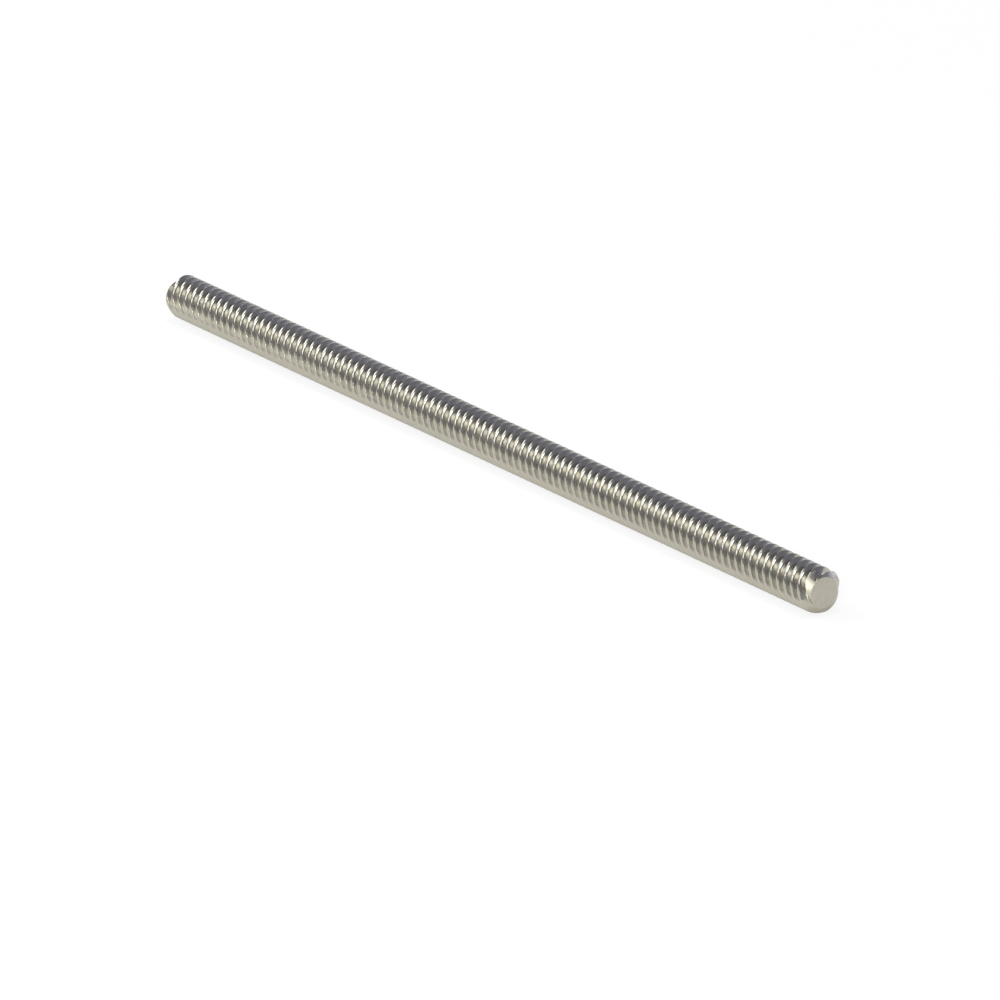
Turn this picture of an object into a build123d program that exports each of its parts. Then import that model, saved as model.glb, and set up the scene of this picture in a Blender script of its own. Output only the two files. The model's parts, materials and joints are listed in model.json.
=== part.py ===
from build123d import *

import math
import os

# A four-start lead screw, cut to length from threaded bar. Lengths are in millimetres.
# It lies along X, with its axis on the X axis and its middle at the origin. +Z is up.
#
# The thread is right-hand and trapezoidal. Its pitch, depth, flanks and number of starts are
# those of a common size, and the number of starts is a guess. A turn of the thread is made of
# flat facets, which keeps the solid light: the crests' corners lie on the crest cylinder, and
# the roots' facets touch the root cylinder. The visual model winds the same thread smoothly
# and rounds its corners.

CREST_DIAMETER = 8.0  # over the crests: the size that a nut, a bearing or a clamp hub fits
THREAD_DEPTH = 1.25  # from the crests down to the roots
PITCH = 2.0  # along the axis, from one ridge to the next
STARTS = 4  # ridges that wind side by side, so a turn moves the nut by four pitches
FLANK_ANGLE = 15.0  # degrees, how far each flank leans from square to the axis
CREST_LAND = 0.366 * PITCH  # the flat on a ridge, as the tables of this thread give it
THREAD_START = 0.8  # along the axis, where a ridge stands above the screw's middle
FACETS_PER_TURN = 12  # in fours, so that facet corners reach the crest cylinder on every side
SCREW_LENGTH = 197.0  # from end face to end face
LEAD_IN_LENGTH = 1.0  # along the axis, the cone that starts a nut on the thread
END_FACE_DIAMETER = 5.4  # the flat left inside the lead-in cone, just narrower than the roots

LEAD = PITCH * STARTS
CREST_RADIUS = CREST_DIAMETER / 2
ROOT_RADIUS = CREST_RADIUS - THREAD_DEPTH
STRIPS = ("rising flank", "crest", "falling flank", "root")  # what one ridge winds, in order


def ridge_section():
    """The four corners of one ridge, each as its place along the axis and its radius."""
    crest_half = CREST_LAND / 2
    foot_half = crest_half + THREAD_DEPTH * math.tan(math.radians(FLANK_ANGLE))
    root_corner = ROOT_RADIUS / math.cos(math.pi / FACETS_PER_TURN)
    return [
        (-foot_half, root_corner),
        (-crest_half, CREST_RADIUS),
        (crest_half, CREST_RADIUS),
        (foot_half, root_corner),
    ]


def row_of_ridges(turn):
    """The corners of all the ridges in one half plane, wound on by a share of a turn."""
    angle = math.tau * turn
    each_side = math.ceil(SCREW_LENGTH / 2 / PITCH) + 1
    row = []
    for ridge in range(-each_side - STARTS, each_side + 1):
        centre = THREAD_START + ridge * PITCH + turn * LEAD
        for along, radius in ridge_section():
            row.append(Vector(centre + along, -radius * math.sin(angle), radius * math.cos(angle)))
    return row


def facet(*corners):
    """A flat face between corners."""
    return Face(Wire.make_polygon(corners, close=True))


def facets_between(row, next_row):
    """One step of the winding. Crests and roots are flat, and a flank folds along a diagonal."""
    facets = []
    for place in range(len(row) - 1):
        a, b = row[place], row[place + 1]
        c, d = next_row[place + 1], next_row[place]
        strip = STRIPS[place % len(STRIPS)]
        if strip == "rising flank":
            facets += [facet(a, b, c), facet(a, c, d)]
        elif strip == "falling flank":
            facets += [facet(a, b, d), facet(b, c, d)]
        else:
            facets.append(facet(a, b, c, d))
    return facets


def end_cap(spiral, step, hub):
    """Closes an end of the skin from a hub on the axis, along its spiral edge and its step."""
    fan = [facet(hub, one, other) for one, other in zip(spiral, spiral[1:])]
    return [*fan, facet(hub, *step)]


def threaded_bar():
    """The bar with its thread, longer than the screw. All the starts lie in one closed skin."""
    rows = [row_of_ridges(step / FACETS_PER_TURN) for step in range(FACETS_PER_TURN + 1)]
    first, last = rows[0], rows[-1]
    skin = []
    for row, next_row in zip(rows, rows[1:]):
        skin += facets_between(row, next_row)
    one_lead = len(STRIPS) * STARTS + 1
    skin += end_cap([row[0] for row in rows], first[:one_lead], Vector(first[0].X, 0, 0))
    skin += end_cap([row[-1] for row in rows], last[-one_lead:], Vector(last[-1].X, 0, 0))
    return Solid(Shell(skin))


def turned_blank():
    """What the lathe leaves: two end faces, and cones that run out well above the crests."""
    end = SCREW_LENGTH / 2
    face_radius = END_FACE_DIAMETER / 2
    blank_radius = CREST_RADIUS + THREAD_DEPTH
    slope = (CREST_RADIUS - face_radius) / LEAD_IN_LENGTH
    cones_end = end - (blank_radius - face_radius) / slope
    outline = Polyline(
        (-end, 0),
        (-end, face_radius),
        (-cones_end, blank_radius),
        (cones_end, blank_radius),
        (end, face_radius),
        (end, 0),
        close=True,
    )
    return revolve(make_face(outline), axis=Axis.X).solid()


screw = (threaded_bar() & turned_blank()).solid()
print("lead_screw", screw.bounding_box().size, "volume", round(screw.volume, 1))

os.makedirs("parts", exist_ok=True)
export_step(screw, "parts/lead_screw.step")
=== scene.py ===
# %% [markdown]
# # A trapezoidal lead screw
#
# A lead screw turns rotation into travel. This one is a single steel bar, 8 mm over its crests,
# with a thread rolled into it from end to end. Four ridges wind round the bar side by side, so
# one turn moves the nut four pitches. Four is usual at this size, and here it is a guess. After
# rolling, the bar is sawn to length, faced, and given a small cone at each end, which is how a
# nut finds its way on.
#
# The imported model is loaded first, because it fixes the size and the place of everything.

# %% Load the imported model
import json
import math

import bmesh
import bpy
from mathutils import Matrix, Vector


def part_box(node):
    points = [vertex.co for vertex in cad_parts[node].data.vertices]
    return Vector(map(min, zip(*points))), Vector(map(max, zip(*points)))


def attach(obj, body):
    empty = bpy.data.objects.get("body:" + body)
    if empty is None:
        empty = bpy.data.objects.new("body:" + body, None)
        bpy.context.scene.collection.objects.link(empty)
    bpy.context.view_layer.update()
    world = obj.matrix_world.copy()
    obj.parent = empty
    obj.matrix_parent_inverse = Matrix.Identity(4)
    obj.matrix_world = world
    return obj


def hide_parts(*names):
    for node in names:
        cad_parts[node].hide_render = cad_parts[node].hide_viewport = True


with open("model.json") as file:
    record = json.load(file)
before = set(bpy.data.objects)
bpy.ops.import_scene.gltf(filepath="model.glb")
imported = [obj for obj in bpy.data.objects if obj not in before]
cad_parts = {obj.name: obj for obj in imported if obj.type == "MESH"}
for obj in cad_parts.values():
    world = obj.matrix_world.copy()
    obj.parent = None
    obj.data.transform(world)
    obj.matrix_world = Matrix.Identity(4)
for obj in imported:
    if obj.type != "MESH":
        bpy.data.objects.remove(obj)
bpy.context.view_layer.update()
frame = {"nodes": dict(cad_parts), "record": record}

# %% [markdown]
# ## Sizes
#
# Blender works in metres, and a machinist in millimetres, so every size here is written in
# millimetres times MM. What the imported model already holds, such as the radius over the crests
# and the length, is read from it and never typed a second time. The thread's pitch, depth, land
# and flanks are those of a common screw of this size. So is the number of starts, which is a
# guess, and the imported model's thread has to be changed with it.

# %% Sizes of the screw
MM = 0.001
FACE_TOLERANCE = 0.01 * MM

mounts = {mount["name"]: mount for mount in frame["record"]["mounts"]}
screw_low, screw_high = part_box("lead_screw")
half_length = (screw_high.x - screw_low.x) / 2
crest_radius = mounts["thread"]["dims"]["r_mm"] * MM
lead_in_length = half_length - mounts["thread"]["dims"]["length_mm"] * MM / 2
packed = frame["nodes"]["lead_screw"].data.vertices
on_end_face = [vert.co for vert in packed if vert.co.x > screw_high.x - FACE_TOLERANCE]
end_face_radius = max(math.hypot(place.y, place.z) for place in on_end_face)

PITCH = 2.0 * MM
STARTS = 4
THREAD_DEPTH = 1.25 * MM
CREST_LAND = 0.366 * PITCH
FLANK_ANGLE = math.radians(15)
CREST_ROUNDING = 0.07 * MM
ROOT_FILLET = 0.30 * MM
ROLLING_LOSS = 0.012 * MM
THREAD_START = 0.8 * MM

lead = PITCH * STARTS
print(f"length {2000 * half_length:.1f} mm, lead {1000 * lead:.1f} mm")
print(f"lead-in {1000 * lead_in_length:.2f} mm, end face radius {1000 * end_face_radius:.2f} mm")

# %% [markdown]
# ## The outline of one ridge
#
# A thread is one small outline wound round an axis, so the outline deserves the care. Seen in a
# cut along the axis it is a trapezoid: a flat crest, two flanks that lean 15 degrees, and a flat
# root. Rolled steel has no sharp corners, because it flows round the dies, so the corners of the
# crest get a small radius and those of the root a larger one.
#
# Beveling the finished thread would round thousands of edges one by one. Rounding four corners
# of the outline before it is wound costs nothing, and every turn inherits them.

# %% The ridge's outline
ARC_STEPS = 2


def rounded_corner(before, corner, after, radius, steps):
    """Points of the arc that rounds a corner of an outline, from one side to the other."""
    towards_before = (before - corner).normalized()
    towards_after = (after - corner).normalized()
    half_angle = towards_before.angle(towards_after) / 2
    centre = corner + (towards_before + towards_after).normalized() * radius / math.sin(half_angle)
    first = corner + towards_before * radius / math.tan(half_angle) - centre
    turn = first.angle_signed(corner + towards_after * radius / math.tan(half_angle) - centre)
    arc = []
    for step in range(steps + 1):
        angle = -turn * step / steps
        cosine, sine = math.cos(angle), math.sin(angle)
        arc.append(centre + Vector((first.x * cosine - first.y * sine, first.x * sine + first.y * cosine)))
    return arc


def ridge_outline():
    """One pitch of the thread's section as (along the axis, from the axis) points."""
    crest = crest_radius - ROLLING_LOSS
    root = crest_radius - THREAD_DEPTH
    crest_half = CREST_LAND / 2
    root_start = crest_half + (crest - root) * math.tan(FLANK_ANGLE)
    corners = [
        (Vector((-root_start, root)), ROOT_FILLET),
        (Vector((-crest_half, crest)), CREST_ROUNDING),
        (Vector((crest_half, crest)), CREST_ROUNDING),
        (Vector((root_start, root)), ROOT_FILLET),
    ]
    ends = [Vector((-PITCH / 2, root)), *[place for place, _ in corners], Vector((PITCH / 2, root))]
    outline = []
    for number, (place, radius) in enumerate(corners, 1):
        outline += rounded_corner(ends[number - 1], place, ends[number + 1], radius, ARC_STEPS)
    return outline


outline = ridge_outline()
print("points in one ridge's outline:", len(outline))

# %% [markdown]
# ## Winding the thread
#
# The spin operator turns a wire round an axis and leaves a surface behind it. With its dvec it
# also slides the wire a little at each step, and that makes a helix: here one full turn slides
# the wire by one lead. The wire is a row of ridges longer than the screw. After its turn each
# ridge lands exactly on the ridge four pitches further on, so merging the doubles closes the
# surface into one skin, with all four starts in it and no seam.
#
# A full spin of a closed ring would use use_merge. A screw must not, because its last step lands
# one lead away from its first.

# %% Wind the thread
TURN_STEPS = 64
SAME_POINT = 0.001 * MM
SPARE_LENGTH = 0.5 * MM


def row_of_ridges(bm, copies):
    """The outline repeated along the axis as one wire, centred on the origin."""
    first = [bm.verts.new((point.x, 0, point.y)) for point in outline]
    for one, other in zip(first, first[1:]):
        bm.edges.new((one, other))
    shift = Vector((PITCH, 0, 0))
    bmesh.ops.spin(
        bm, geom=first + bm.edges[:], cent=(0, 0, 0), axis=(1, 0, 0), dvec=shift,
        angle=0, steps=copies - 1, use_duplicate=True,
    )
    row = sorted(bm.verts, key=lambda vert: vert.co.x)
    for one, other in zip(row, row[1:]):
        if not bm.edges.get((one, other)):
            bm.edges.new((one, other))
    bmesh.ops.translate(bm, vec=-shift * (copies - 1) / 2, verts=bm.verts[:])


def close_end(bm, place):
    """Cuts the skin square at a place on the axis and closes the cut with one face."""
    outward = (math.copysign(1, place), 0, 0)
    cut = bmesh.ops.bisect_plane(
        bm, geom=bm.verts[:] + bm.edges[:] + bm.faces[:], plane_co=(place, 0, 0),
        plane_no=outward, clear_outer=True, dist=SAME_POINT,
    )
    rim = [item for item in cut["geom_cut"] if isinstance(item, bmesh.types.BMEdge)]
    bmesh.ops.contextual_create(bm, geom=rim)


def wound_thread(spare):
    """A closed skin of the thread, longer than the screw by spare at each end."""
    bm = bmesh.new()
    row_of_ridges(bm, copies=math.ceil(2 * (half_length + spare + lead) / PITCH))
    bmesh.ops.spin(
        bm, geom=bm.verts[:] + bm.edges[:], cent=(0, 0, 0), axis=(1, 0, 0),
        dvec=Vector((lead / TURN_STEPS, 0, 0)), angle=math.tau, steps=TURN_STEPS, use_merge=False,
    )
    bmesh.ops.translate(bm, vec=(THREAD_START - lead / 2, 0, 0), verts=bm.verts[:])
    bmesh.ops.remove_doubles(bm, verts=bm.verts[:], dist=SAME_POINT)
    close_end(bm, half_length + spare)
    close_end(bm, -half_length - spare)
    bmesh.ops.recalc_face_normals(bm, faces=bm.faces[:])
    return bm


def report(bm, name):
    """Prints what a mesh amounts to, and whether it is closed."""
    open_edges = sum(not edge.is_manifold for edge in bm.edges)
    triangles = sum(len(face.verts) - 2 for face in bm.faces)
    print(f"{name}: {triangles} triangles, {open_edges} open edges, {bm.calc_volume() / MM**3:.0f} mm3")


def as_object(bm, name):
    """Turns a bmesh into an object in the scene, and frees it."""
    report(bm, name)
    mesh = bpy.data.meshes.new(name)
    bm.to_mesh(mesh)
    bm.free()
    made = bpy.data.objects.new(name, mesh)
    bpy.context.scene.collection.objects.link(made)
    return made


thread = as_object(wound_thread(SPARE_LENGTH), "thread")

# %% [markdown]
# ## Turning the ends
#
# On the lathe, the tool faces the sawn bar and then swings to cut a cone. The cone cuts through
# the ridges and lets the four spaces run out into it, and those odd crescent edges are what
# makes a screw's end look real. Moving the end's vertices onto a cone would leave them ragged.
# A boolean cuts them cleanly, so the thread is crossed with the shape that the lathe leaves:
# a plain bar, a little fatter than the crests, with the cones and faces of the real ends.

# %% The turned shape
RIM_ROUNDING = 0.12 * MM
RIM_STEPS = 3
CLEAR_OF_CRESTS = 0.3 * MM
LATHE_STEPS = 128


def turned_outline():
    """The half outline that the lathe leaves at one end, from the axis out to the crests."""
    slope = (crest_radius - end_face_radius) / lead_in_length
    face_centre = Vector((half_length, 0))
    rim = Vector((half_length, end_face_radius))
    cone_start = half_length - lead_in_length - CLEAR_OF_CRESTS / slope
    above_crests = Vector((cone_start, crest_radius + CLEAR_OF_CRESTS))
    rounded_rim = rounded_corner(face_centre, rim, above_crests, RIM_ROUNDING, RIM_STEPS)
    return [face_centre, *rounded_rim, above_crests]


def turned_shape():
    """A closed bar with the faces and cones of both ends."""
    bm = bmesh.new()
    end = turned_outline()
    both = [Vector((-point.x, point.y)) for point in end] + end[::-1]
    wire = [bm.verts.new((point.x, 0, point.y)) for point in both]
    for one, other in zip(wire, wire[1:]):
        bm.edges.new((one, other))
    bmesh.ops.spin(
        bm, geom=bm.verts[:] + bm.edges[:], cent=(0, 0, 0), axis=(1, 0, 0),
        angle=math.tau, steps=LATHE_STEPS, use_merge=True,
    )
    bmesh.ops.remove_doubles(bm, verts=bm.verts[:], dist=SAME_POINT)
    bmesh.ops.recalc_face_normals(bm, faces=bm.faces[:])
    return bm


lathe = as_object(turned_shape(), "lathe")

# %% Cross the thread with the turned shape
SHARP_EDGE = math.radians(32)
SLIVER = 2 * SAME_POINT


def crossed(kept, cutter, name):
    """What two closed objects share, as a new object. The two are removed."""
    cut = kept.modifiers.new("cut", "BOOLEAN")
    cut.operation, cut.object, cut.solver = "INTERSECT", cutter, "EXACT"
    depsgraph = bpy.context.evaluated_depsgraph_get()
    mesh = bpy.data.meshes.new_from_object(kept.evaluated_get(depsgraph))
    mesh.name = name
    for used in (kept, cutter):
        bpy.data.objects.remove(used)
    made = bpy.data.objects.new(name, mesh)
    bpy.context.scene.collection.objects.link(made)
    return made


def cleaned(piece):
    """Merges the slivers that a cut leaves, and shades round where the metal is round."""
    bm = bmesh.new()
    bm.from_mesh(piece.data)
    bmesh.ops.remove_doubles(bm, verts=bm.verts[:], dist=SLIVER)
    bmesh.ops.dissolve_degenerate(bm, edges=bm.edges[:], dist=SLIVER)
    bmesh.ops.triangulate(bm, faces=[face for face in bm.faces if len(face.verts) > 4])
    bmesh.ops.recalc_face_normals(bm, faces=bm.faces[:])
    for face in bm.faces:
        face.smooth = True
    for edge in bm.edges:
        edge.smooth = edge.calc_face_angle(math.pi) < SHARP_EDGE
    report(bm, piece.name)
    bm.to_mesh(piece.data)
    bm.free()


screw = crossed(thread, lathe, "threaded_bar")
cleaned(screw)

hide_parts("lead_screw")
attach(screw, "root")

# %% [markdown]
# ## A few helpers for materials
#
# A material is a small tree of nodes. Much of this one is plain arithmetic on the place of a
# point, so two helpers keep it readable: one makes a node and sets its inputs, the other makes
# a Math node out of sockets and numbers and hands back its result.

# %% Helpers for materials
def node(tree, kind, **inputs):
    """A new shader node, with some of its inputs set or linked."""
    made = tree.nodes.new("ShaderNode" + kind)
    for name, given in inputs.items():
        fill(tree, made.inputs[name.replace("_", " ")], given)
    return made


def fill(tree, socket, given):
    """Sets an input to a constant, or links it where it is given another node's output."""
    if isinstance(given, bpy.types.NodeSocket):
        tree.links.new(given, socket)
    else:
        socket.default_value = given


def maths(tree, operation, *inputs):
    """The result of a Math node over sockets and numbers."""
    made = node(tree, "Math")
    made.operation = operation
    for socket, given in zip(made.inputs, inputs):
        fill(tree, socket, given)
    return made.outputs[0]


def spread(tree, given, low, high, to_low, to_high):
    """A value's range stretched to another range and held there at both ends."""
    made = node(tree, "MapRange", Value=given, From_Min=low, From_Max=high, To_Min=to_low, To_Max=to_high)
    return made.outputs[0]


# %% [markdown]
# ## Where a point lies on the screw
#
# Rolling marks follow the ridges, so they need a coordinate that winds with them. The angle
# round the axis gives the turn of a point. Its place along the axis, less what the lead climbs
# in that turn, stays the same all the way along a ridge: call it the winding. Noise that is
# stretched along the winding turns into long streaks on crests and flanks.
#
# An angle jumps where the circle closes, and the jump would draw a line along the bar. Sine and
# cosine don't jump, so the noise is read from them. That takes four numbers, two for the winding
# and two for the turn, and a 4D noise takes exactly four.

# %% Winding coordinates
def screw_place(tree):
    """Turn and winding as angles, the distance from the axis and the place along it."""
    place = node(tree, "SeparateXYZ", Vector=node(tree, "TexCoord").outputs["Object"])
    along, y, z = place.outputs
    turn = maths(tree, "ARCTAN2", maths(tree, "MULTIPLY", y, -1), z)
    winding = maths(tree, "SUBTRACT", maths(tree, "MULTIPLY", along, math.tau / lead), turn)
    radius = maths(tree, "SQRT", maths(tree, "ADD", maths(tree, "POWER", y, 2), maths(tree, "POWER", z, 2)))
    return turn, winding, radius, along


def streaks(tree, turn, winding, fine, long):
    """Noise drawn out along the ridges, from 0 to 1. A larger fine is finer across them."""
    def circle(angle, size):
        return [maths(tree, "MULTIPLY", maths(tree, wave, angle), size) for wave in ("COSINE", "SINE")]

    x, y = circle(winding, fine)
    z, w = circle(turn, long)
    place = node(tree, "CombineXYZ", X=x, Y=y, Z=z)
    noise = node(tree, "TexNoise")
    noise.noise_dimensions = "4D"
    fill(tree, noise.inputs["Vector"], place.outputs[0])
    fill(tree, noise.inputs["W"], w)
    noise.inputs["Scale"].default_value = 1
    noise.inputs["Detail"].default_value = 3
    return noise.outputs[0]


# %% [markdown]
# ## Rolled steel
#
# A Principled shader with Metallic 1 takes its whole look from what it mirrors, so the colour is
# only the tint of the reflection. What tells steel from chrome is how the reflection breaks up.
# Rolled steel is satin rather than polished, its crests are burnished by the dies and by the
# nut, and its spaces stay duller because nothing rubs there and a film of oil dries in them.
#
# The streaks do three things: they vary the roughness, they lighten and darken the tint a
# little, and as bump they tilt the surface by a hair, which is what blurs a highlight along
# rolled metal.
#
# The ends were cut after the rolling. A cut has no streaks, only fine rings and a cloudy sheen,
# and bare new metal is paler. The end face is lifted paler still, and that part is painted sheen:
# it stands in for the light the face catches. The shape says where the lathe went: the outermost
# hair of the bar is the face, and whatever lies on the cone was cut by it. So two comparisons find
# it, and no second material is needed. The height of a bump is written in metres, like all the rest.

# %% The steel
DULL = (0.435, 0.411, 0.343, 1)
BURNISHED = (0.47, 0.444, 0.37, 1)
# The palest tint: bare new metal, and on the end face also a painted sheen for the light it catches.
FRESH_METAL_AND_SHEEN = (0.55, 0.52, 0.445, 1)
MARK_DEPTH = 0.0015 * MM
RING_WIDTH = 0.16 * MM
RING_DEPTH = 0.004 * MM
PATCH_SIZE = 5 * MM
MOTTLE_SIZE = 0.8 * MM
FACE_HAIR = 0.02 * MM
CONE_HAIR = 0.03 * MM
SPACE_ROUGHNESS = 0.27
CREST_ROUGHNESS = 0.20
BAND_SMOOTHING = -0.06
PATCH_ROUGHNESS = 0.10
CUT_SMOOTHEST = 0.32
CUT_ROUGHEST = 0.46
# The lift below raises the end face towards the palest tint: partly bare new metal, partly painted sheen.
FACE_SHEEN_LIFT = 0.35


def smudges(tree, size):
    """Soft patches, from 0 to 1, about as wide as the size."""
    place = node(tree, "TexCoord").outputs["Object"]
    noise = node(tree, "TexNoise", Vector=place, Scale=1 / size, Detail=3.0, Roughness=0.6)
    return noise.outputs[0]


def turned_rings(tree, along, radius):
    """Where the lathe cut, and where it faced the end, as 0 or 1, and its rings, from 0 to 1."""
    from_end = maths(tree, "SUBTRACT", half_length, maths(tree, "ABSOLUTE", along))
    cone_slope = (crest_radius - end_face_radius) / lead_in_length
    cone = maths(tree, "ADD", maths(tree, "MULTIPLY", from_end, cone_slope), end_face_radius - CONE_HAIR)
    on_face = maths(tree, "LESS_THAN", from_end, FACE_HAIR)
    on_cone = maths(tree, "GREATER_THAN", radius, cone)
    turned = maths(tree, "MAXIMUM", on_face, on_cone)
    rings = node(tree, "TexNoise", Detail=2.0)
    rings.noise_dimensions = "1D"
    down_the_cut = maths(tree, "DIVIDE", maths(tree, "ADD", radius, from_end), RING_WIDTH)
    fill(tree, rings.inputs["W"], down_the_cut)
    return turned, on_face, rings.outputs[0]


def rolled_steel():
    """Satin steel: streaks along the ridges, duller spaces, and fine rings on the turned ends."""
    material = bpy.data.materials.new("rolled steel")
    material.use_nodes = True
    tree = material.node_tree
    shader = tree.nodes["Principled BSDF"]
    shader.inputs["Metallic"].default_value = 1

    turn, winding, radius, along = screw_place(tree)
    marks = streaks(tree, turn, winding, fine=10, long=1.3)
    bands = streaks(tree, turn, winding, fine=2.5, long=0.8)
    patches = smudges(tree, PATCH_SIZE)
    turned, on_face, rings = turned_rings(tree, along, radius)
    mottle = smudges(tree, MOTTLE_SIZE)

    rubbed = spread(tree, radius, crest_radius - THREAD_DEPTH, crest_radius, 0, 1)
    banded = maths(tree, "MULTIPLY", bands, 0.9)
    rolled_tone = spread(tree, maths(tree, "MULTIPLY_ADD", rubbed, 0.55, banded), 0.35, 1.15, 0, 0.5)
    worn = maths(tree, "MULTIPLY_ADD", rings, 0.5, mottle)
    cone_tone = spread(tree, worn, 0.55, 0.95, 0.10, 0.65)
    # On the end face the tone is lifted further: painted sheen for the light the face catches, over bare
    # new metal.
    cut_tone_and_sheen = maths(tree, "MULTIPLY_ADD", on_face, FACE_SHEEN_LIFT, cone_tone)
    tone = node(tree, "Mix", Factor=turned, A=rolled_tone, B=cut_tone_and_sheen).outputs[0]
    tint = node(tree, "ValToRGB", Fac=tone)
    tint.color_ramp.elements.new(0.5)
    for stop, colour in zip(tint.color_ramp.elements, (DULL, BURNISHED, FRESH_METAL_AND_SHEEN)):
        stop.color = colour
    tree.links.new(tint.outputs[0], shader.inputs["Base Color"])

    plain_rough = spread(tree, rubbed, 0, 1, SPACE_ROUGHNESS, CREST_ROUGHNESS)
    rolled_rough = maths(tree, "MULTIPLY_ADD", bands, BAND_SMOOTHING, plain_rough)
    cut_rough = spread(tree, mottle, 0.3, 0.7, CUT_SMOOTHEST, CUT_ROUGHEST)
    rough = node(tree, "Mix", Factor=turned, A=rolled_rough, B=cut_rough).outputs[0]
    patched_rough = maths(tree, "MULTIPLY_ADD", patches, PATCH_ROUGHNESS, rough)
    tree.links.new(patched_rough, shader.inputs["Roughness"])

    rolled_height = maths(tree, "MULTIPLY", marks, MARK_DEPTH)
    cut_height = maths(tree, "MULTIPLY", maths(tree, "ADD", rings, mottle), RING_DEPTH)
    height = node(tree, "Mix", Factor=turned, A=rolled_height, B=cut_height).outputs[0]
    bump = node(tree, "Bump", Height=height, Distance=1.0)
    tree.links.new(bump.outputs[0], shader.inputs["Normal"])
    return material


steel = rolled_steel()
screw.data.materials.clear()
screw.data.materials.append(steel)

# %% [markdown]
# ## The floor
#
# Shiny metal shows the room more than itself, so the floor is part of the screw's look. A matt
# white floor bright enough to read as pure white would also flood the steel with light. So the
# floor stays at the plain level, and the Light Path node raises what is merely looked at: most
# of the floor counts as white for rays that come from the camera, and half of it for rays that
# the steel mirrors. The rest stays matt and catches the shadow, so the screw sits on something.
#
# The mirrored share is the smaller of the two. It lets the underside of the screw see its own
# shadow, and that draws the darker line where round steel meets a floor.

# %% Floor
FLOOR_RADIUS = 4
FLOOR_ROUGHNESS = 0.7
FLOOR_COLOUR = (0.9, 0.9, 0.9, 1)
WHITE_SEEN = 0.85
WHITE_MIRRORED = 0.5


def pale_floor_material():
    """A matt pale floor that reads as nearly white to the camera and in reflections."""
    material = bpy.data.materials.new("pale floor")
    material.use_nodes = True
    tree = material.node_tree
    matt = tree.nodes["Principled BSDF"]
    matt.inputs["Base Color"].default_value = FLOOR_COLOUR
    matt.inputs["Roughness"].default_value = FLOOR_ROUGHNESS
    white = node(tree, "Emission", Color=(1, 1, 1, 1), Strength=1)
    path = node(tree, "LightPath").outputs
    reflected = maths(tree, "MAXIMUM", path["Is Glossy Ray"], path["Is Transmission Ray"])
    seen = maths(tree, "MULTIPLY", path["Is Camera Ray"], WHITE_SEEN)
    mirrored = maths(tree, "MULTIPLY", reflected, WHITE_MIRRORED)
    mix = node(tree, "MixShader", Fac=maths(tree, "MAXIMUM", seen, mirrored))
    tree.links.new(matt.outputs[0], mix.inputs[1])
    tree.links.new(white.outputs[0], mix.inputs[2])
    tree.links.new(mix.outputs[0], tree.nodes["Material Output"].inputs["Surface"])
    return material


def pale_floor():
    """A wide disc just under the crests, which is where the screw would lie."""
    bm = bmesh.new()
    bmesh.ops.create_circle(bm, cap_ends=True, segments=96, radius=FLOOR_RADIUS)
    bmesh.ops.translate(bm, vec=(0, 0, -crest_radius), verts=bm.verts[:])
    floor = as_object(bm, "floor")
    floor.data.materials.append(pale_floor_material())


pale_floor()

# %% [markdown]
# ## The lamps
#
# A thread mirrors each lamp once per pitch, as a bright dot or a streak, so lamps place the
# highlights and their strength decides how bright the steel reads. Two disks carry the light:
# one overhead, and one low on the right for the lower half of the bar. A cool one behind draws
# a rim along the top. The lamps on the left each add a part of the row of sparkles where crest
# and flank turn towards the camera. Broad soft disks keep those sparkles soft. One big softbox
# would be simpler, but it would smear the row into a plain stripe.
#
# The world fills whatever is left with a dim blue, which the dark upper side picks up. Against
# the slightly warm overhead lamp, it gives the steel its cool and warm sides.

# %% Light
LAMP_DISTANCE = 1.6
PLAIN = (1, 1, 1)
WARM = (1, 0.94, 0.82)
SOFT_WARM = (1, 1, 0.9)
COOL = (0.72, 0.77, 1)
SOFT_COOL = (0.9, 0.95, 1)
LAMPS = [
    ("overhead", 0, 90, 0.5, 10.4, WARM),
    ("right front", 320, 22, 0.5, 16.1, SOFT_WARM),
    ("behind", 96, 12, 0.5, 7.5, COOL),
    ("left high", 217, 50, 0.65, 7.4, SOFT_COOL),
    ("left key", 204, 32, 0.5, 1.3, PLAIN),
    ("left low", 220, 22, 0.5, 1.7, PLAIN),
    ("left end", 180, 22, 0.5, 2.4, PLAIN),
]
WORLD_COLOUR = (0.23, 0.242, 0.321, 1)


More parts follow.
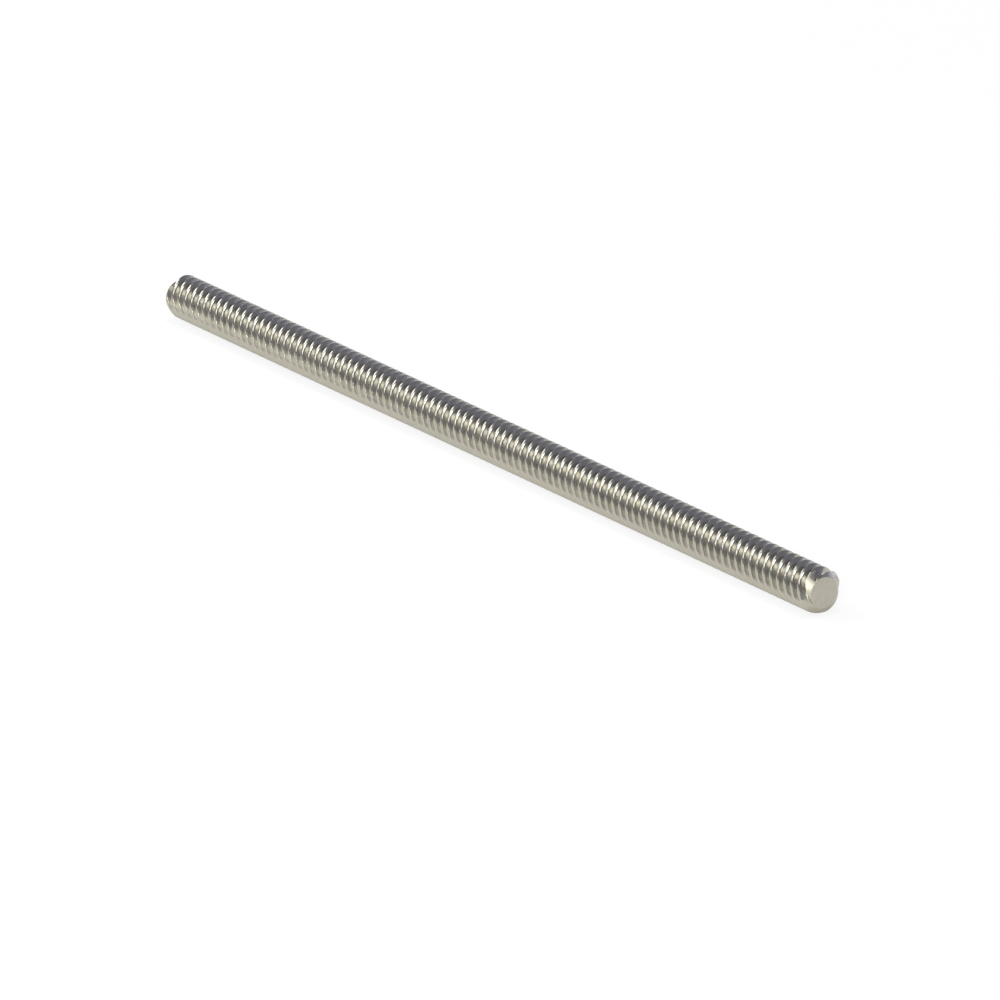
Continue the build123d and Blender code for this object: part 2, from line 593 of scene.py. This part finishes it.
def lamp(name, bearing, height, size, power, colour):
    """A soft round lamp that looks at the screw from a bearing and a height in degrees."""
    bearing, height = math.radians(bearing), math.radians(height)
    flat = math.cos(height)
    towards = Vector((math.cos(bearing) * flat, math.sin(bearing) * flat, math.sin(height)))
    data = bpy.data.lights.new(name, "AREA")
    data.shape = "DISK"
    data.size, data.energy, data.color = size, power, colour
    made = bpy.data.objects.new(name, data)
    made.location = towards * LAMP_DISTANCE
    made.rotation_euler = towards.to_track_quat("Z", "Y").to_euler()
    bpy.context.scene.collection.objects.link(made)


for settings in LAMPS:
    lamp(*settings)

world = bpy.data.worlds.new("studio")
bpy.context.scene.world = world
world.use_nodes = True
world.node_tree.nodes["Background"].inputs["Color"].default_value = WORLD_COLOUR
print("lamps:", len(LAMPS))

# %% [markdown]
# ## The camera
#
# A long lens from far away keeps the two ends of a long bar nearly the same size, which is how
# small parts are usually pictured. The camera looks down a little and stands well off to one
# side, so the near end shows its face and the thread runs away from it. It is aimed at a point
# below the middle of the screw, and that leaves the bar across the upper half of the picture.

# %% Camera
AZIMUTH = math.radians(55.707)
ELEVATION = math.radians(18.70)
DISTANCE = 2.0
LENS = 416.6
SENSOR_WIDTH = 36
NEAREST_SEEN = 0.1
FURTHEST_SEEN = 20
AIM_RIGHT = 1.64 * MM
AIM_BELOW = 10.69 * MM


def photographer():
    """The camera, turned round the screw by its azimuth and raised by its elevation."""
    back = Vector((
        math.sin(AZIMUTH) * math.cos(ELEVATION),
        -math.cos(AZIMUTH) * math.cos(ELEVATION),
        math.sin(ELEVATION),
    ))
    right = Vector((math.cos(AZIMUTH), math.sin(AZIMUTH), 0))
    up = back.cross(right)
    data = bpy.data.cameras.new("camera")
    data.lens, data.sensor_width = LENS, SENSOR_WIDTH
    data.clip_start, data.clip_end = NEAREST_SEEN, FURTHEST_SEEN
    made = bpy.data.objects.new("camera", data)
    made.location = right * AIM_RIGHT - up * AIM_BELOW + back * DISTANCE
    made.rotation_euler = back.to_track_quat("Z", "Y").to_euler()
    bpy.context.scene.collection.objects.link(made)
    bpy.context.scene.camera = made


photographer()
bpy.context.scene.view_settings.view_transform = "Standard"
